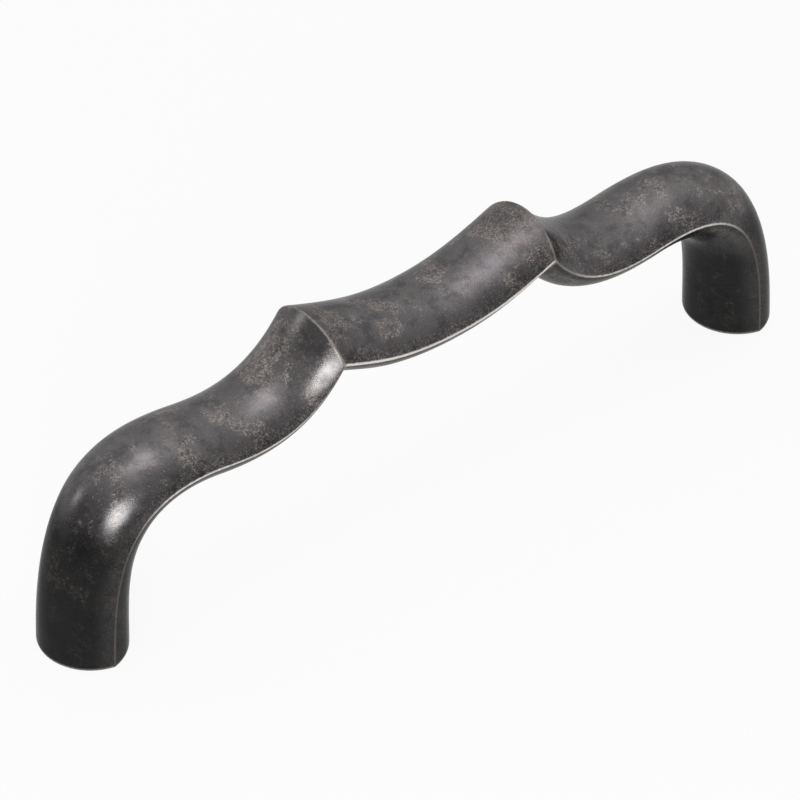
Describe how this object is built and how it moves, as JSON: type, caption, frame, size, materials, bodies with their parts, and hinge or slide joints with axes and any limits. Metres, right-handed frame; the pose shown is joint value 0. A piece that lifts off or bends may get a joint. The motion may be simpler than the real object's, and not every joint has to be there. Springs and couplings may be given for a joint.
{
  "type": "bar pull",
  "caption": "One-piece cast cabinet bar pull with two legs, low shoulders and a sagging bar between two pointed ridges, in a worn dark antique finish.",
  "frame": {"origin": "on the mounting plane, midway between the two screw holes", "axes": "+X along the bar from the left foot to the right foot, +Z away from the drawer front, +Y across the bar"},
  "size_m": [0.106, 0.0126, 0.0303],
  "materials": {
    "antique_metal": "dark charcoal antique finish, satin, mottled with warm grey-brown rub marks and worn bright along the seams and ridges"
  },
  "bodies": {
    "root": {"pull_body": "antique_metal"}
  },
  "joints": []
}
